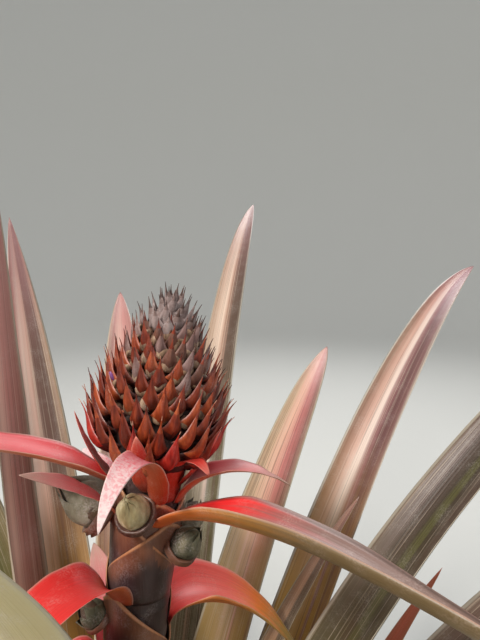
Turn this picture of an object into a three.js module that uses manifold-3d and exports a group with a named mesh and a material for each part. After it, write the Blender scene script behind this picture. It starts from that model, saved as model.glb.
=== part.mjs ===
// A young pineapple plant with its first flower head, rooted in level ground.
// Long channelled leaves stand in a spiral on a short stout stem. A sheathed stalk rises through
// them, leans to one side, carries red bracts and small buds, and ends in the spiky flower head
// with its tuft of crown leaves. Millimetres, +Z up, origin at the middle of the cut at the ground.
import * as THREE from "three";
import { mergeVertices } from "three/addons/utils/BufferGeometryUtils.js";
import Module from "manifold-3d";

const wasm = await Module();
wasm.setup();

// Driving dimensions, in millimetres and degrees. Turns are measured from +X towards +Y.
const GAP = 0.3;
const LEAF_SEAT = 0.8;
const BRACT_SEAT = 0.5;

const STEM_HEIGHT = 210;
const STEM_FOOT_RADIUS = 46;
const STEM_LOW_RADIUS = 36;
const STEM_TOP_RADIUS = 27;
const FLARE_HEIGHT = 16;

const STALK_LOW_RADIUS = 17;
const STALK_RADIUS = 20.5;
const HEAD_BASE_Z = 590;
const HEAD_BASE_X = 26.3;

const LEAF_COUNT = 30;
const SPIRAL_TURN = 137.5;
const LEAF_STEP = 5.9;
const FIRST_LEAF_Z = 16;
const LEAF_WIDTH = 52;
const LEAF_CHANNEL = 34;
const LEAF_THICKNESS_SHARE = 0.0102;
const LEAF_FOOT_THICKNESS = 3;

const HEAD_HEIGHT = 85;
const FLORAL_BRACTS = 112;
const CROWN_LEAVES = 26;

const degrees = (angle) => (angle * Math.PI) / 180;
const mix = (a, b, share) => a + (b - a) * share;

// The middle line of stem and stalk: upright in the stem, then leaning more and more to +X.
const STALK_LENGTH_Z = HEAD_BASE_Z - STEM_HEIGHT;

function axisX(z) {
  return HEAD_BASE_X * (Math.max(0, z - STEM_HEIGHT) / STALK_LENGTH_Z) ** 2;
}

function axisTilt(z) {
  return Math.atan((2 * HEAD_BASE_X * Math.max(0, z - STEM_HEIGHT)) / STALK_LENGTH_Z ** 2);
}

function stemRadius(z) {
  const body = mix(STEM_LOW_RADIUS, STEM_TOP_RADIUS, z / STEM_HEIGHT);
  const flare = Math.max(0, 1 - z / FLARE_HEIGHT) ** 2;
  return body + (STEM_FOOT_RADIUS - STEM_LOW_RADIUS) * flare;
}

function stalkRadius(z) {
  const share = Math.min(1, (z - STEM_HEIGHT) / (0.45 * STALK_LENGTH_Z));
  return mix(STALK_LOW_RADIUS, STALK_RADIUS, share);
}

const leafGreen = new THREE.MeshStandardMaterial({ color: 0x9a7d5e, roughness: 0.6 });
const bractRed = new THREE.MeshStandardMaterial({ color: 0xd8403a, roughness: 0.5 });
const stalkBrown = new THREE.MeshStandardMaterial({ color: 0x5a4034, roughness: 0.7 });
const budGrey = new THREE.MeshStandardMaterial({ color: 0x767260, roughness: 0.8 });
const headRust = new THREE.MeshStandardMaterial({ color: 0x9c4326, roughness: 0.6 });
const crownMauve = new THREE.MeshStandardMaterial({ color: 0x8d7474, roughness: 0.8 });

// Joins rings of equally many points into one closed skin; a ring of one point closes an end.
function skin(rings) {
  const points = rings.flat();
  const faces = [];
  let start = 0;
  for (let i = 0; i + 1 < rings.length; i++) {
    const low = rings[i].length;
    const high = rings[i + 1].length;
    const next = start + low;
    const sides = Math.max(low, high);
    for (let k = 0; k < sides; k++) {
      const a = start + (k % low);
      const b = start + ((k + 1) % low);
      const c = next + ((k + 1) % high);
      const d = next + (k % high);
      if (low > 1) faces.push(a, b, high > 1 ? c : d);
      if (high > 1) faces.push(a, c, d);
    }
    start = next;
  }
  return { points, faces };
}

// Closes a ring of points that has the given offset in the list with a fan from its first point.
function cap(faces, offset, count, flipped) {
  for (let k = 1; k + 1 < count; k++) {
    if (flipped) faces.push(offset, offset + k + 1, offset + k);
    else faces.push(offset, offset + k, offset + k + 1);
  }
}

function geometryOf({ points, faces }) {
  const flat = new Float32Array(points.flatMap((p) => [p.x, p.y, p.z]));
  const geometry = new THREE.BufferGeometry();
  geometry.setAttribute("position", new THREE.BufferAttribute(flat, 3));
  geometry.setIndex(faces);
  geometry.computeVertexNormals();
  return geometry;
}

function meshOf(name, geometry, material) {
  const mesh = new THREE.Mesh(geometry, material);
  mesh.name = name;
  return mesh;
}

function solidOf(geometry) {
  const bare = geometry.clone();
  bare.deleteAttribute("normal");
  bare.deleteAttribute("uv");
  const merged = mergeVertices(bare, 1e-3);
  return new wasm.Manifold(
    new wasm.Mesh({
      numProp: 3,
      vertProperties: merged.attributes.position.array,
      triVerts: new Uint32Array(merged.index.array),
    }),
  );
}

function geometryOfSolid(solid) {
  const { vertProperties, triVerts } = solid.getMesh();
  const geometry = new THREE.BufferGeometry();
  geometry.setAttribute("position", new THREE.BufferAttribute(vertProperties, 3));
  geometry.setIndex(new THREE.BufferAttribute(triVerts, 1));
  geometry.computeVertexNormals();
  return geometry;
}

function union(geometries) {
  return geometryOfSolid(geometries.map(solidOf).reduce((all, one) => all.add(one)));
}

// A blade: a channelled leaf on a middle line that starts at its foot and bends in its own
// upright plane. Its hollow side faces the stem, its margins are sharp and it ends in a point.
const BLADE_STATIONS = 12;
const BLADE_HOLLOW = [1, 0.5, 0, -0.5, -1];
const BLADE_BACK = [-0.62, 0, 0.62];
const SPINE_STEPS = 4;

function bladeWidth(blade, q) {
  const foot = mix(blade.footShare, 1, Math.min(1, q / 0.2));
  return blade.width * foot * (1 - q ** blade.taper) ** 0.85;
}

function bladeThickness(blade, q) {
  const grown = mix(blade.footThickness, blade.thickness, Math.min(1, q / 0.25));
  return grown * (1 - q ** 3);
}

function bladeGeometry(blade) {
  const middle = blade.foot.clone();
  const rings = [];
  for (let i = 0; i < BLADE_STATIONS; i++) {
    const q = i / BLADE_STATIONS;
    const rise = degrees(mix(blade.rise, blade.tipRise, q ** blade.bend));
    const turn = degrees(blade.turn + blade.sway * q ** blade.swayBend);
    const twist = degrees(blade.twist * q ** blade.twistBend);
    const across = new THREE.Vector3(-Math.sin(turn), Math.cos(turn), 0);
    const hollow = new THREE.Vector3(
      -Math.sin(rise) * Math.cos(turn),
      -Math.sin(rise) * Math.sin(turn),
      Math.cos(rise),
    );
    const side = across.clone().multiplyScalar(Math.cos(twist)).addScaledVector(hollow, Math.sin(twist));
    const up = hollow.clone().multiplyScalar(Math.cos(twist)).addScaledVector(across, -Math.sin(twist));
    rings.push(bladeRing(blade, q, middle, side, up));
    for (let k = 0; k < SPINE_STEPS; k++) {
      const s = (i + (k + 0.5) / SPINE_STEPS) / BLADE_STATIONS;
      const climb = degrees(mix(blade.rise, blade.tipRise, s ** blade.bend));
      const heading = degrees(blade.turn + blade.sway * s ** blade.swayBend);
      const step = blade.length / BLADE_STATIONS / SPINE_STEPS;
      middle.x += step * Math.cos(climb) * Math.cos(heading);
      middle.y += step * Math.cos(climb) * Math.sin(heading);
      middle.z += step * Math.sin(climb);
    }
  }
  rings.push([middle.clone()]);
  const { points, faces } = skin(rings);
  closeFoot(faces);
  return geometryOf({ points, faces });
}

// Closes a blade's foot with a strip from margin to margin between its hollow and its back.
function closeFoot(faces) {
  const lastHollow = BLADE_HOLLOW.length - 1;
  let back = lastHollow + BLADE_BACK.length;
  for (let front = 0; front < lastHollow; front++) {
    faces.push(front, back, front + 1);
    if (back > lastHollow + 1) {
      faces.push(front + 1, back, back - 1);
      back--;
    }
  }
}

function bladeRing(blade, q, middle, side, up) {
  const channel = blade.channel * (1 + blade.opening * q);
  const width = bladeWidth(blade, q);
  const thickness = bladeThickness(blade, q);
  const spread = Math.asin(Math.min(0.98, width / 2 / channel));
  const at = (share, depth) =>
    middle
      .clone()
      .addScaledVector(side, (channel + depth) * Math.sin(spread * share))
      .addScaledVector(up, channel - (channel + depth) * Math.cos(spread * share));
  return [
    ...BLADE_HOLLOW.map((share) => at(share, 0)),
    ...BLADE_BACK.map((share) => at(share, thickness * (1 - share * share))),
  ];
}

// The leaves: one to a place on the spiral, the lowest the oldest. Old leaves lie low, those on
// the open side (-Y) lie lower still, and the youngest beside the stalk are short and narrow.
const OPEN_SIDE_TURN = 270;

// What the leaves that the photograph shows do of their own, by their place on the spiral.
const SEEN_LEAVES = {
  3: { turn: 51, length: 540 },
  8: { length: 460, rise: 63, tipRise: 47, bend: 2, width: 25 },
  11: { turn: 72, length: 600 },
  14: { turn: 122, length: 760, rise: 62, tipRise: 64, bend: 1.6, sway: 4, width: 58, twist: 10 },
  16: { length: 870, rise: 61, tipRise: 6, bend: 2.6, sway: 12, width: 56, twist: 5 },
  17: { width: 46 },
  19: { turn: 80, length: 1020, rise: 64, tipRise: 16, bend: 1.6, sway: 3, width: 47, twist: 2 },
  21: { turn: 12, length: 790, rise: 70, tipRise: 31, bend: 1.2, sway: 2, width: 55, twist: 3 },
  24: { length: 690, rise: 72, tipRise: 7, bend: 1.05, sway: 12, width: 52, twist: 7 },
  25: { turn: 189, length: 640, rise: 84, tipRise: 91, bend: 1.5, sway: -8, width: 45, twist: -11 },
  26: { turn: 340, length: 740, rise: 75, tipRise: 51, bend: 0.4, sway: 2, width: 48 },
  27: { turn: 101.5, length: 635, rise: 77, tipRise: 21, bend: 1.6, sway: 3, width: 53 },
  28: { turn: 271, length: 532, rise: 84, tipRise: 53, bend: 1.55, sway: -20, width: 51, twist: -4 },
  29: { turn: 32, length: 380, rise: 74, tipRise: 40, bend: 1.1, width: 24 },
};

function leafRule(place) {
  const age = 1 - place / (LEAF_COUNT - 1);
  const turn = (SPIRAL_TURN * place) % 360;
  const openness = Math.max(0, Math.cos(degrees(turn - OPEN_SIDE_TURN)));
  return {
    turn,
    length: mix(700, 520, age),
    rise: mix(80, 40, age) - 22 * openness,
    tipRise: mix(35, -8, age) - 15 * openness,
    bend: 1.8,
    sway: 0,
    twist: 0,
    width: LEAF_WIDTH,
    ...SEEN_LEAVES[place],
  };
}

function leaf(place) {
  const own = leafRule(place);
  const footZ = FIRST_LEAF_Z + LEAF_STEP * place;
  const footRadius = stemRadius(footZ) + LEAF_SEAT;
  const turn = degrees(own.turn);
  return bladeGeometry({
    ...own,
    foot: new THREE.Vector3(footRadius * Math.cos(turn), footRadius * Math.sin(turn), footZ),
    swayBend: 2,
    twistBend: 1,
    footShare: 0.9,
    taper: 4.2,
    channel: LEAF_CHANNEL,
    opening: 0,
    footThickness: LEAF_FOOT_THICKNESS,
    thickness: LEAF_THICKNESS_SHARE * own.length,
  });
}

// The red bracts: shorter blades on the stalk, from the lowest up.
const BRACTS = {
  bract_low_back: { turn: 118, z: 404, length: 120, rise: 64, tipRise: 10, width: 30 },
  bract_low_left: { turn: 231, z: 456, length: 69, rise: 76, tipRise: -85, bend: 0.9, width: 36 },
  bract_mid_back: { turn: 88, z: 474, length: 120, rise: 62, tipRise: 0, width: 32 },
  bract_low_right: { turn: 43, z: 471, length: 144, rise: 79, tipRise: -58, bend: 0.25, sway: -40,
    swayBend: 0.63, width: 50, twist: -3, opening: 1.05 },
  bract_left: { turn: 237, z: 504, length: 116, rise: 83, tipRise: -57, bend: 0.66, sway: 2,
    width: 38, twist: -10, opening: 1 },
  bract_high_back: { turn: 130, z: 530, length: 90, rise: 60, tipRise: 0, width: 28 },
  bract_long_right: { turn: 315, z: 555, length: 300, rise: 50, tipRise: -18, bend: 0.4, sway: 5,
    width: 38, twist: -55, opening: 0 },
  bract_front: { turn: 295, z: 569.5, length: 122, rise: 62, tipRise: -62, bend: 1.89, sway: -36,
    swayBend: 0.2, width: 17, twist: -27, twistBend: 0.38, opening: 0.76 },
  bract_long_left: { turn: 208, z: 579, length: 158, rise: 39, tipRise: -1, bend: 1, width: 33,
    twist: -5, opening: 0.7 },
  bract_high_right: { turn: 352, z: 566, length: 82, rise: 61, tipRise: -38, bend: 0.9, sway: 11,
    width: 30, twist: -15 },
  bract_high_left: { turn: 230, z: 560.5, length: 82, rise: 58, tipRise: 24, bend: 0.75, sway: 5,
    width: 13, twist: -60 },
};

function bract(name) {
  const own = BRACTS[name];
  const radius = stalkRadius(own.z) + BRACT_SEAT;
  const turn = degrees(own.turn);
  return bladeGeometry({
    sway: 0,
    swayBend: 2,
    twist: 0,
    twistBend: 1,
    bend: 0.8,
    opening: 0.8,
    ...own,
    foot: new THREE.Vector3(
      axisX(own.z) + radius * Math.cos(turn),
      radius * Math.sin(turn),
      own.z,
    ),
    footShare: 0.6,
    taper: 3,
    channel: STALK_RADIUS + 3,
    footThickness: 1.5,
    thickness: Math.max(2, 0.0105 * own.length),
  });
}

// A turned solid on the Z axis from a profile of [radius, height] pairs.
function turned(profile, sides) {
  const points = profile.map(([radius, height]) => new THREE.Vector2(radius, height));
  return new THREE.LatheGeometry(points, sides).rotateX(Math.PI / 2);
}

function stem() {
  const heights = [0, 0.35 * FLARE_HEIGHT, FLARE_HEIGHT, STEM_HEIGHT / 2, STEM_HEIGHT - GAP];
  const wall = heights.map((z) => [stemRadius(z), z]);
  return turned([[0, 0], ...wall, [0, STEM_HEIGHT - GAP]], 20);
}

const STALK_SIDES = 18;
const STALK_RINGS = 12;

function stalk() {
  const rings = [];
  for (let i = 0; i <= STALK_RINGS; i++) {
    const z = mix(STEM_HEIGHT, HEAD_BASE_Z - GAP, i / STALK_RINGS);
    const tilt = axisTilt(z);
    const ring = [];
    for (let k = 0; k < STALK_SIDES; k++) {
      const around = (2 * Math.PI * k) / STALK_SIDES;
      const out = stalkRadius(z) * Math.cos(around);
      const along = stalkRadius(z) * Math.sin(around);
      ring.push(
        new THREE.Vector3(axisX(z) + out * Math.cos(tilt), along, z - out * Math.sin(tilt)),
      );
    }
    rings.push(ring);
  }
  const { points, faces } = skin(rings);
  cap(faces, 0, STALK_SIDES, true);
  cap(faces, STALK_SIDES * STALK_RINGS, STALK_SIDES, false);
  return geometryOf({ points, faces });
}

// A keeled spike that leaves its foot outwards and curves up: a floral bract or a crown leaf.
function spike({ turn, radius, height, length, width, lean, curve }) {
  const angle = degrees(turn);
  const out = new THREE.Vector3(Math.cos(angle), Math.sin(angle), 0);
  const side = new THREE.Vector3(-Math.sin(angle), Math.cos(angle), 0);
  const at = (outwards, upwards, sideways) =>
    out
      .clone()
      .multiplyScalar(radius + outwards)
      .addScaledVector(side, sideways)
      .setZ(height + upwards);
  const reach = (share) => {
    const pitch = degrees(lean - curve * share);
    return [length * share * Math.sin(pitch), length * share * Math.cos(pitch)];
  };
  const section = (share, half) => {
    const [o, u] = reach(share);
    return [
      at(o, u, -half),
      at(o + 0.55 * half, u - 0.35 * half, 0),
      at(o, u, half),
      at(o - 0.25 * half, u + 0.1 * half, 0),
    ];
  };
  const sunk = section(0, width / 2).map((p) => p.addScaledVector(out, -3));
  const tip = reach(1);
  const rings = [sunk, section(0.35, width / 2), section(0.7, width / 4), [at(tip[0], tip[1], 0)]];
  const { points, faces } = skin(rings);
  cap(faces, 0, 4, true);
  return geometryOf({ points, faces });
}

// The flower head: a barrel core closely set with spikes on a spiral, longest at the foot.
const HEAD_FOOT_RADIUS = 20;
const HEAD_TOP_RADIUS = 14;
const HEAD_SWELL = 14.5;

function headRadius(share) {
  const swell = HEAD_SWELL * Math.sin(Math.PI * share ** 0.75);
  return mix(HEAD_FOOT_RADIUS, HEAD_TOP_RADIUS, share) + swell;
}

function flowerHead() {
  const rows = [0, 0.06, 0.18, 0.34, 0.52, 0.7, 0.86, 1];
  const wall = rows.map((share) => [headRadius(share), share * HEAD_HEIGHT]);
  const core = turned([[0, 0], ...wall, [0, HEAD_HEIGHT]], 16);
  const spikes = [];
  for (let i = 0; i < FLORAL_BRACTS; i++) {
    const share = 0.07 + 0.9 * (i / (FLORAL_BRACTS - 1));
    spikes.push(
      spike({
        turn: i * SPIRAL_TURN,
        radius: headRadius(share),
        height: share * HEAD_HEIGHT,
        length: mix(31, 17, share),
        width: mix(12, 9, share),
        lean: mix(62, 44, share),
        curve: mix(22, 16, share),
      }),
    );
  }
  return union([core, ...spikes]);
}

function crown() {
  const core = turned([[0, 0], [12.5, 0], [13.5, 8], [8, 16], [0, 18]], 12);
  const leaves = [];
  for (let i = 0; i < CROWN_LEAVES; i++) {
    const share = i / (CROWN_LEAVES - 1);
    leaves.push(
      spike({
        turn: i * SPIRAL_TURN,
        radius: mix(12.5, 4, share),
        height: mix(3, 14, share),
        length: mix(18, 17, share),
        width: 8,
        lean: mix(40, 8, share),
        curve: mix(22, 4, share),
      }),
    );
  }
  return union([core, ...leaves]);
}

// The buds in the axils of the bracts: an egg of closed scales with a few loose points.
const BUDS = {
  bud_left: { turn: 188, z: 558, size: 37, points: 5, tilt: 56 },
  bud_front: { turn: 263, z: 566, size: 25, points: 3, tilt: 40 },
  bud_right: { turn: 336, z: 535, size: 24, points: 4, tilt: 42 },
  bud_back: { turn: 22, z: 538, size: 22, points: 3, tilt: 30 },
  bud_low: { turn: 205, z: 486, size: 20, points: 4, tilt: 40 },
};
const BUD_FOOT_SHARE = 0.28;

function bud(name) {
  const { size, points } = BUDS[name];
  const egg = turned(
    [
      [0, 0],
      [BUD_FOOT_SHARE * size, 0],
      [0.42 * size, 0.3 * size],
      [0.36 * size, 0.62 * size],
      [0, size],
    ],
    12,
  );
  const loose = [];
  for (let i = 0; i < points; i++) {
    loose.push(
      spike({
        turn: 40 + (i * 360) / points,
        radius: 0.3 * size,
        height: 0.35 * size,
        length: 0.62 * size,
        width: 0.42 * size,
        lean: 30,
        curve: 10,
      }),
    );
  }
  return union([egg, ...loose]);
}

const plant = new THREE.Group();
plant.add(meshOf("stem", stem(), stalkBrown));
plant.add(meshOf("stalk", stalk(), stalkBrown));

for (let place = 0; place < LEAF_COUNT; place++) {
  const name = "leaf_" + String(place).padStart(2, "0");
  plant.add(meshOf(name, leaf(place), leafGreen));
}
for (const name of Object.keys(BRACTS)) {
  plant.add(meshOf(name, bract(name), bractRed));
}

for (const [name, { turn, z, size, tilt }] of Object.entries(BUDS)) {
  const mesh = meshOf(name, bud(name), budGrey);
  const foot = BUD_FOOT_SHARE * size;
  const touchZ = z + foot * Math.sin(degrees(tilt));
  const reach = stalkRadius(touchZ) + GAP + foot * Math.cos(degrees(tilt));
  mesh.position.set(
    axisX(touchZ) + reach * Math.cos(degrees(turn)),
    reach * Math.sin(degrees(turn)),
    z,
  );
  mesh.rotation.set(0, degrees(tilt), degrees(turn), "ZYX");
  plant.add(mesh);
}

const top = new THREE.Group();
top.position.set(HEAD_BASE_X, 0, HEAD_BASE_Z);
top.rotation.y = axisTilt(HEAD_BASE_Z);
top.add(meshOf("flower_head", flowerHead(), headRust));
const tuft = meshOf("crown", crown(), crownMauve);
tuft.position.z = HEAD_HEIGHT + GAP;
top.add(tuft);
plant.add(top);

export default plant;
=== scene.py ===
# Dresses the pineapple plant: finer blades, buds, flower head and crown on the places of the
# solids, with procedural materials, a plain studio and the camera of the photograph.
# Lengths in the shape tables are millimetres and degrees; the meshes are made in metres.
import math
import random

import bpy
from mathutils import Matrix, Vector, noise


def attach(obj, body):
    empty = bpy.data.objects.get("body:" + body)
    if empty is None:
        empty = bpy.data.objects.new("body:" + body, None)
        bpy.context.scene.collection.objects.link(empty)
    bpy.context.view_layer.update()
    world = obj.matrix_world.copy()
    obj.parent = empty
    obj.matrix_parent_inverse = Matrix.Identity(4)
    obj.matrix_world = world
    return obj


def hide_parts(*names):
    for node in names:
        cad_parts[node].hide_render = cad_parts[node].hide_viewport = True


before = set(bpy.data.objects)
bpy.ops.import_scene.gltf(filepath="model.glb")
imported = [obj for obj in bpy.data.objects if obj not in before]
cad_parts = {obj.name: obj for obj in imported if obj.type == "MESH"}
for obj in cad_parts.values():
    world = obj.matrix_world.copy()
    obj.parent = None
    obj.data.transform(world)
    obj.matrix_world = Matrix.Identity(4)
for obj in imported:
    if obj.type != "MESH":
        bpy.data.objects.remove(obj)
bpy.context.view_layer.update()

MM = 0.001
spray = random.Random(11)

# Stem and stalk, as in the part.
STEM_HEIGHT = 210
STEM_FOOT_RADIUS = 46
STEM_LOW_RADIUS = 36
STEM_TOP_RADIUS = 27
FLARE_HEIGHT = 16
STALK_LOW_RADIUS = 17
STALK_RADIUS = 20.5
HEAD_BASE_Z = 590
HEAD_BASE_X = 26.3
HEAD_HEIGHT = 85
STALK_LENGTH_Z = HEAD_BASE_Z - STEM_HEIGHT

# Leaves, as in the part.
LEAF_COUNT = 30
SPIRAL_TURN = 137.5
LEAF_STEP = 5.9
FIRST_LEAF_Z = 16
LEAF_SEAT = 0.8
LEAF_WIDTH = 52
LEAF_CHANNEL = 34
OPEN_SIDE_TURN = 270
SEEN_LEAVES = {
    3: dict(turn=51, length=540),
    8: dict(length=460, rise=63, tip_rise=47, bend=2, width=25),
    11: dict(turn=72, length=600),
    14: dict(turn=122, length=760, rise=62, tip_rise=64, bend=1.6, sway=4, width=58, twist=10),
    16: dict(length=870, rise=61, tip_rise=6, bend=2.6, sway=12, width=56, twist=5),
    17: dict(width=46),
    19: dict(turn=80, length=1020, rise=64, tip_rise=16, bend=1.6, sway=3, width=47, twist=2),
    21: dict(turn=12, length=790, rise=70, tip_rise=31, bend=1.2, sway=2, width=55, twist=3),
    24: dict(length=690, rise=72, tip_rise=7, bend=1.05, sway=12, width=52, twist=7),
    25: dict(turn=189, length=640, rise=84, tip_rise=91, bend=1.5, sway=-8, width=45, twist=-11),
    26: dict(turn=340, length=740, rise=75, tip_rise=51, bend=0.4, sway=2, width=48),
    27: dict(turn=101.5, length=635, rise=77, tip_rise=21, bend=1.6, sway=3, width=53),
    28: dict(turn=271, length=532, rise=84, tip_rise=53, bend=1.55, sway=-20, width=51, twist=-4),
    29: dict(turn=32, length=380, rise=74, tip_rise=40, bend=1.1, width=24),
}

# Bracts and buds on the stalk, as in the part.
BRACT_SEAT = 0.5
BRACTS = {
    "bract_low_back": dict(turn=118, z=404, length=120, rise=64, tip_rise=10, width=30),
    "bract_low_left": dict(turn=231, z=456, length=69, rise=76, tip_rise=-85, bend=0.9, width=36),
    "bract_mid_back": dict(turn=88, z=474, length=120, rise=62, tip_rise=0, width=32),
    "bract_low_right": dict(
        turn=43, z=471, length=144, rise=79, tip_rise=-58, bend=0.25, sway=-40, sway_bend=0.63,
        width=50, twist=-3, opening=1.05,
    ),
    "bract_left": dict(
        turn=237, z=504, length=116, rise=83, tip_rise=-57, bend=0.66, sway=2, width=38, twist=-10,
        opening=1,
    ),
    "bract_high_back": dict(turn=130, z=530, length=90, rise=60, tip_rise=0, width=28),
    "bract_long_right": dict(
        turn=315, z=555, length=300, rise=50, tip_rise=-18, bend=0.4, sway=5, width=38, twist=-55,
        opening=0,
    ),
    "bract_front": dict(
        turn=295, z=569.5, length=122, rise=62, tip_rise=-62, bend=1.89, sway=-36, sway_bend=0.2,
        width=17, twist=-27, twist_bend=0.38, opening=0.76,
    ),
    "bract_long_left": dict(
        turn=208, z=579, length=158, rise=39, tip_rise=-1, bend=1, width=33, twist=-5, opening=0.7
    ),
    "bract_high_right": dict(
        turn=352, z=566, length=82, rise=61, tip_rise=-38, bend=0.9, sway=11, width=30, twist=-15
    ),
    "bract_high_left": dict(
        turn=230, z=560.5, length=82, rise=58, tip_rise=24, bend=0.75, sway=5, width=13, twist=-60
    ),
}
BUDS = {
    "bud_left": dict(turn=188, z=558, size=37, tilt=56),
    "bud_front": dict(turn=263, z=566, size=25, tilt=40),
    "bud_right": dict(turn=336, z=535, size=24, tilt=42),
    "bud_back": dict(turn=22, z=538, size=22, tilt=30),
    "bud_low": dict(turn=205, z=486, size=20, tilt=40),
}
BUD_FOOT_SHARE = 0.28
GAP = 0.3


def mix(a, b, share):
    return a + (b - a) * share


def smooth(value):
    value = min(1.0, max(0.0, value))
    return value * value * (3 - 2 * value)


def axis_x(z):
    return HEAD_BASE_X * (max(0, z - STEM_HEIGHT) / STALK_LENGTH_Z) ** 2


def axis_tilt(z):
    return math.atan(2 * HEAD_BASE_X * max(0, z - STEM_HEIGHT) / STALK_LENGTH_Z**2)


def stem_radius(z):
    body = mix(STEM_LOW_RADIUS, STEM_TOP_RADIUS, z / STEM_HEIGHT)
    flare = max(0, 1 - z / FLARE_HEIGHT) ** 2
    return body + (STEM_FOOT_RADIUS - STEM_LOW_RADIUS) * flare


def stalk_radius(z):
    share = min(1, (z - STEM_HEIGHT) / (0.45 * STALK_LENGTH_Z))
    return mix(STALK_LOW_RADIUS, STALK_RADIUS, share)


# Shader helpers


def rgb(red, green, blue):
    """A display colour of 0 to 255 as linear red, green, blue and alpha."""
    linear = []
    for value in (red, green, blue):
        share = value / 255
        linear.append(share / 12.92 if share <= 0.04045 else ((share + 0.055) / 1.055) ** 2.4)
    return (*linear, 1.0)


def feed(tree, socket, value):
    """Links another node's output to an input, or sets a plain value on it."""
    if isinstance(value, bpy.types.NodeSocket):
        tree.links.new(value, socket)
    else:
        socket.default_value = value


def put(tree, kind, sockets=None, **settings):
    """Adds a shader node, with its settings and with values or links on its sockets."""
    node = tree.nodes.new("ShaderNode" + kind)
    for name, value in settings.items():
        setattr(node, name, value)
    for key, value in (sockets or {}).items():
        feed(tree, node.inputs[key], value)
    return node


def calc(tree, operation, a, b=0.0):
    return put(tree, "Math", {0: a, 1: b}, operation=operation).outputs[0]


def scaled(tree, value, gain, offset):
    return calc(tree, "ADD", calc(tree, "MULTIPLY", value, gain), offset)


# The sockets of a mix node that take and give colours.
MIX_A, MIX_B, MIX_OUT = 6, 7, 2


def blend(tree, share, a, b, mode="MIX"):
    sockets = {0: share, MIX_A: a, MIX_B: b}
    return put(tree, "Mix", sockets, data_type="RGBA", blend_type=mode).outputs[MIX_OUT]


def rise_over(tree, value, low, high):
    """0 below low, 1 above high and smooth between; low may be the larger."""
    sockets = {"Value": value, "From Min": low, "From Max": high}
    return put(tree, "MapRange", sockets, interpolation_type="SMOOTHSTEP").outputs[0]


def fade(tree, value, low, high, strength):
    """0 below low, the strength above high and smooth between."""
    return calc(tree, "MULTIPLY", rise_over(tree, value, low, high), strength)


def ramp(tree, value, stops):
    """A colour by value, from stops of a place and a display colour."""
    node = put(tree, "ValToRGB", {0: value})
    points = node.color_ramp.elements
    first, *between, last = stops
    for point, (place, *colour) in zip(points, (first, last)):
        point.position = place
        point.color = rgb(*colour)
    for place, *colour in between:
        points.new(place).color = rgb(*colour)
    return node.outputs[0]


def noise_of(tree, vector, scale, detail):
    sockets = {"Vector": vector, "Scale": scale, "Detail": detail, "Roughness": 0.55}
    return put(tree, "TexNoise", sockets).outputs["Fac"]


def veined(tree, colour, veins, gain, offset, share=0.8):
    """A colour multiplied by a grey that follows the veins."""
    shade = scaled(tree, veins, gain, offset)
    grey = put(tree, "CombineColor", {0: shade, 1: shade, 2: shade}).outputs[0]
    return blend(tree, share, colour, grey, "MULTIPLY")


def new_material(name):
    material = bpy.data.materials.new(name)
    material.use_nodes = True
    tree = material.node_tree
    return material, tree, tree.nodes["Principled BSDF"]


def finish_surface(tree, shader, colour, rough, height, depth, strength):
    """Links colour, roughness and a bump height to the shader."""
    feed(tree, shader.inputs["Base Color"], colour)
    feed(tree, shader.inputs["Roughness"], rough)
    sockets = {"Strength": strength, "Distance": depth, "Height": height}
    tree.links.new(put(tree, "Bump", sockets).outputs[0], shader.inputs["Normal"])


def plant_place(tree):
    """The place on the plant in metres."""
    return put(tree, "TexCoord").outputs["Object"]


def drawn_out(tree, place, share):
    """A place with its height scaled down, so that a noise on it runs lengthwise."""
    sockets = {"Vector": place, "Scale": (1.0, 1.0, share)}
    return put(tree, "Mapping", sockets).outputs[0]


def blade_axes(tree):
    """Across and along a blade or sheath, from 0 to 1."""
    place = put(tree, "UVMap", uv_map="UVMap").outputs[0]
    split = put(tree, "SeparateXYZ", {0: place})
    return split.outputs[0], split.outputs[1]


def streaks_of(tree, across, along, scales, seed, detail):
    """A noise of lengthwise streaks on a blade."""
    wide, long = scales
    x = calc(tree, "MULTIPLY", across, wide)
    y = calc(tree, "MULTIPLY", along, long)
    place = put(tree, "CombineXYZ", {0: x, 1: y, 2: seed}).outputs[0]
    return noise_of(tree, place, 1.0, detail)


def blade_places(tree, seed):
    """Across and along a blade, its broad streaks and fine veins, and a small shift by the streaks."""
    across, along = blade_axes(tree)
    streaks = streaks_of(tree, across, along, (9.0, 1.6), seed, 4.0)
    veins = streaks_of(tree, across, along, (46.0, 2.4), seed + 3, 3.0)
    waver = calc(tree, "MULTIPLY", calc(tree, "SUBTRACT", streaks, 0.5), 0.3)
    return across, along, streaks, veins, waver


def off_middle(tree, across):
    """How far a place lies off a blade's middle line: 0.5 at the margins."""
    return calc(tree, "ABSOLUTE", calc(tree, "SUBTRACT", across, 0.5))


def scurf_of(tree, strength):
    """Pale specks of scurf and bloom, from 0 to a strength, by place on the plant."""
    place = plant_place(tree)
    cloud = rise_over(tree, noise_of(tree, place, 60.0, 4.0), 0.42, 0.72)
    grain = rise_over(tree, noise_of(tree, place, 900.0, 2.0), 0.35, 0.75)
    return calc(tree, "MULTIPLY", calc(tree, "MULTIPLY", cloud, grain), strength)


def inner_face(tree):
    """1 on the hollow face of a blade and 0 on its back."""
    return put(tree, "Attribute", attribute_name="inner").outputs["Fac"]


PALE_STREAK = rgb(236, 216, 192)
LEAF_SCURF = rgb(214, 206, 196)
BRACT_EDGE = rgb(240, 190, 170)
BRACT_FROST = rgb(244, 226, 222)
BRACT_SCURF = rgb(236, 214, 204)
TISSUE_BLOOM = rgb(196, 186, 184)
SHEATH_EDGE = rgb(186, 128, 88)
SHEATH_BLOOM = rgb(190, 182, 186)
LEAF_BACK = (150, 138, 110)
LEAF_PATCH = (92, 66, 52)
VEIN_SHARE = 0.08
BLADE_ROUGHNESS = (0.2, 0.3)


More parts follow.
